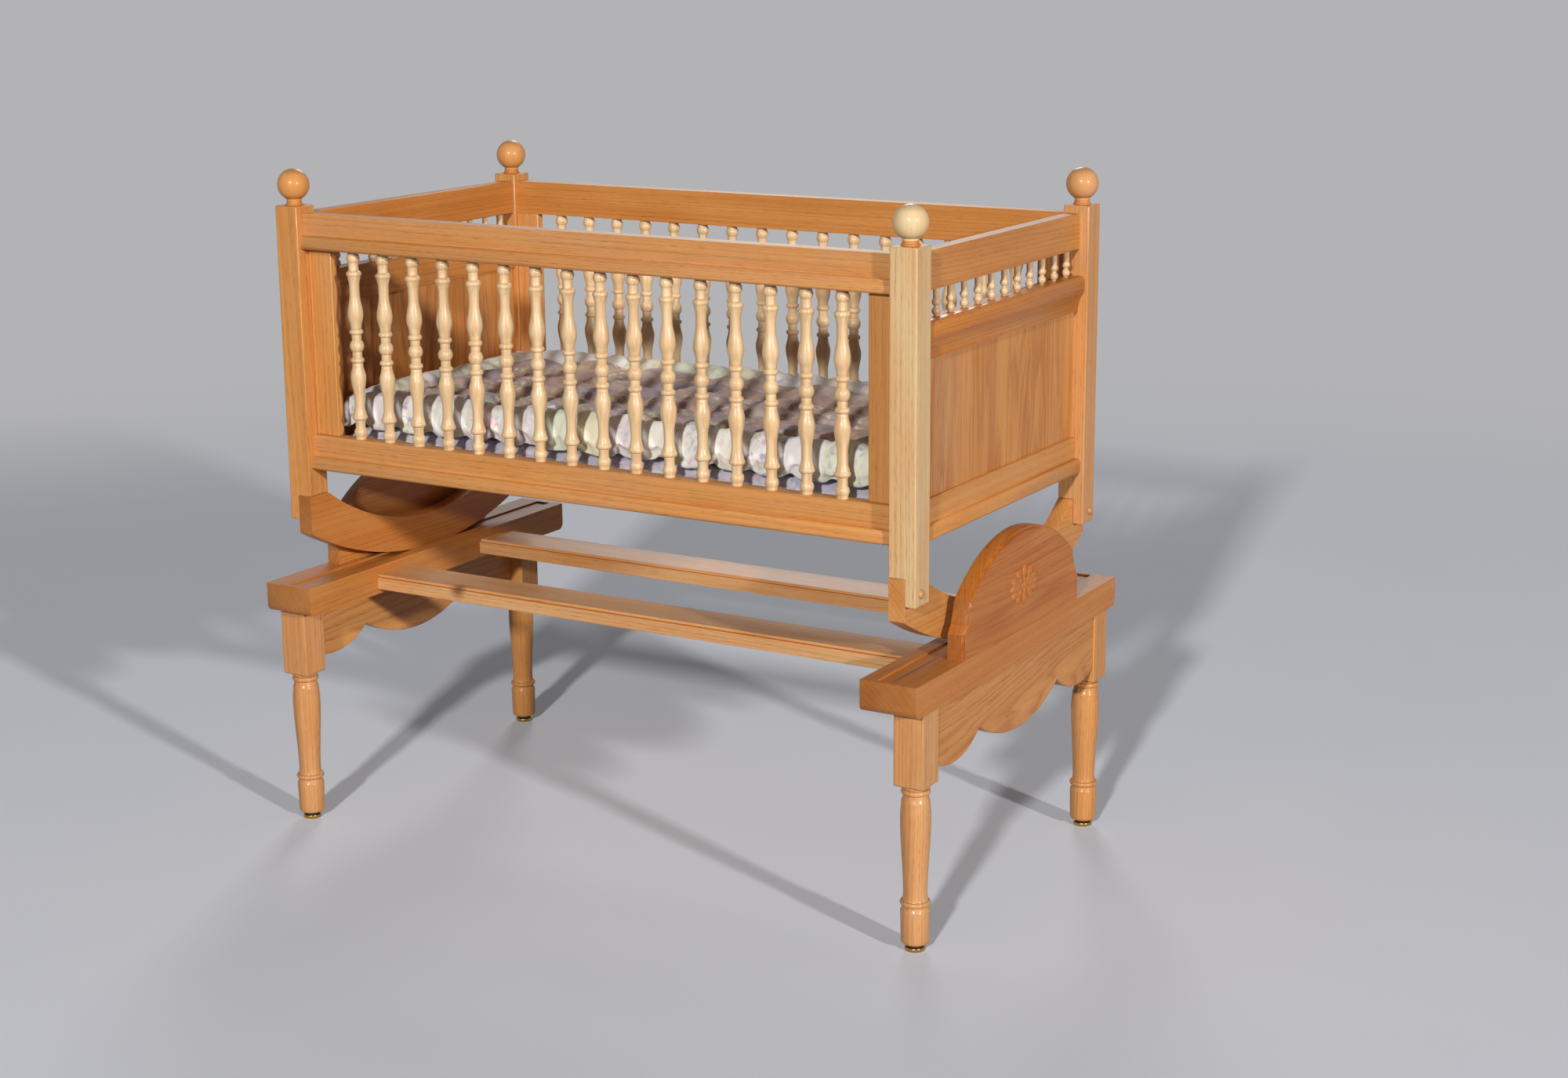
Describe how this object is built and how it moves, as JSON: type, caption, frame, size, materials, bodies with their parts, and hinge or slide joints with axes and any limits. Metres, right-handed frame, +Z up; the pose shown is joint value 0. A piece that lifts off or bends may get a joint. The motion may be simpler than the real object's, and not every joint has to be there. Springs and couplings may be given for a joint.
{
  "type": "convertible cradle",
  "caption": "Wooden spindle cradle with panelled ends and ball finials, rocking on curved runners in the grooves of a separate legged stand, with a mattress and a quilt.",
  "frame": {"origin": "on the floor under the middle of the stand", "axes": "+X along the cradle to its right end, +Y from the front long side to the back one, +Z up"},
  "size_m": [1.109, 0.65, 1.0028],
  "materials": {
    "oak": "light oak under a satin clear varnish",
    "panel_oak": "upright oak boards glued edge to edge under a satin clear varnish",
    "turned_maple": "pale turned maple under a satin clear varnish",
    "dowel_birch": "plain birch dowel, unfinished",
    "hidden_wood": "plain sanded wood with a thin coat of varnish",
    "screw_steel": "zinc plated steel",
    "glide": "brass plated pressed steel with a dark cushion above it",
    "ticking": "plain woven cotton ticking",
    "quilt_cloth": "printed cotton, quilted over soft wadding"
  },
  "bodies": {
    "stand": {"left_beam": "oak", "right_beam": "oak", "front_left_leg": "oak", "front_right_leg": "oak", "back_left_leg": "oak", "back_right_leg": "oak", "front_left_glide": "glide", "front_right_glide": "glide", "back_left_glide": "glide", "back_right_glide": "glide", "left_apron": "oak", "right_apron": "oak", "left_guard": "oak", "right_guard": "oak", "left_rosette": "oak", "right_rosette": "oak", "guard_dowels": "dowel_birch", "front_stretcher": "oak", "back_stretcher": "oak", "stretcher_dowels": "dowel_birch"},
    "cradle": {"front_left_post": "oak", "front_right_post": "oak", "back_left_post": "oak", "back_right_post": "oak", "front_left_finial": "oak", "front_right_finial": "oak", "back_left_finial": "oak", "back_right_finial": "oak", "front_top_rail": "oak", "back_top_rail": "oak", "front_bottom_rail": "oak", "back_bottom_rail": "oak", "front_left_stile": "oak", "front_right_stile": "oak", "back_left_stile": "oak", "back_right_stile": "oak", "front_spindles": "turned_maple", "back_spindles": "turned_maple", "left_top_rail": "oak", "right_top_rail": "oak", "left_mid_rail": "oak", "right_mid_rail": "oak", "left_bottom_rail": "oak", "right_bottom_rail": "oak", "left_gallery": "turned_maple", "right_gallery": "turned_maple", "left_panel": "panel_oak", "right_panel": "panel_oak", "left_rocker": "oak", "right_rocker": "oak", "rocker_screws": "screw_steel", "button_plugs": "turned_maple", "front_cleat": "hidden_wood", "back_cleat": "hidden_wood", "cleat_screws": "screw_steel", "bed_board": "hidden_wood"},
    "mattress": {"mattress": "ticking"},
    "quilt": {"quilt": "quilt_cloth"}
  },
  "joints": [
    {"name": "rocking", "type": "hinge", "parent": "stand", "child": "cradle", "pos_m": [0, 0, 0.9613], "axis": [1, 0, 0], "range_deg": [-8, 8]},
    {"name": "mattress_lift", "type": "slide", "parent": "cradle", "child": "mattress", "axis": [0, 0, 1], "range_m": [0, 0.36]},
    {"name": "quilt_lift", "type": "slide", "parent": "mattress", "child": "quilt", "axis": [0, 0, 1], "range_m": [0, 0.36]}
  ]
}
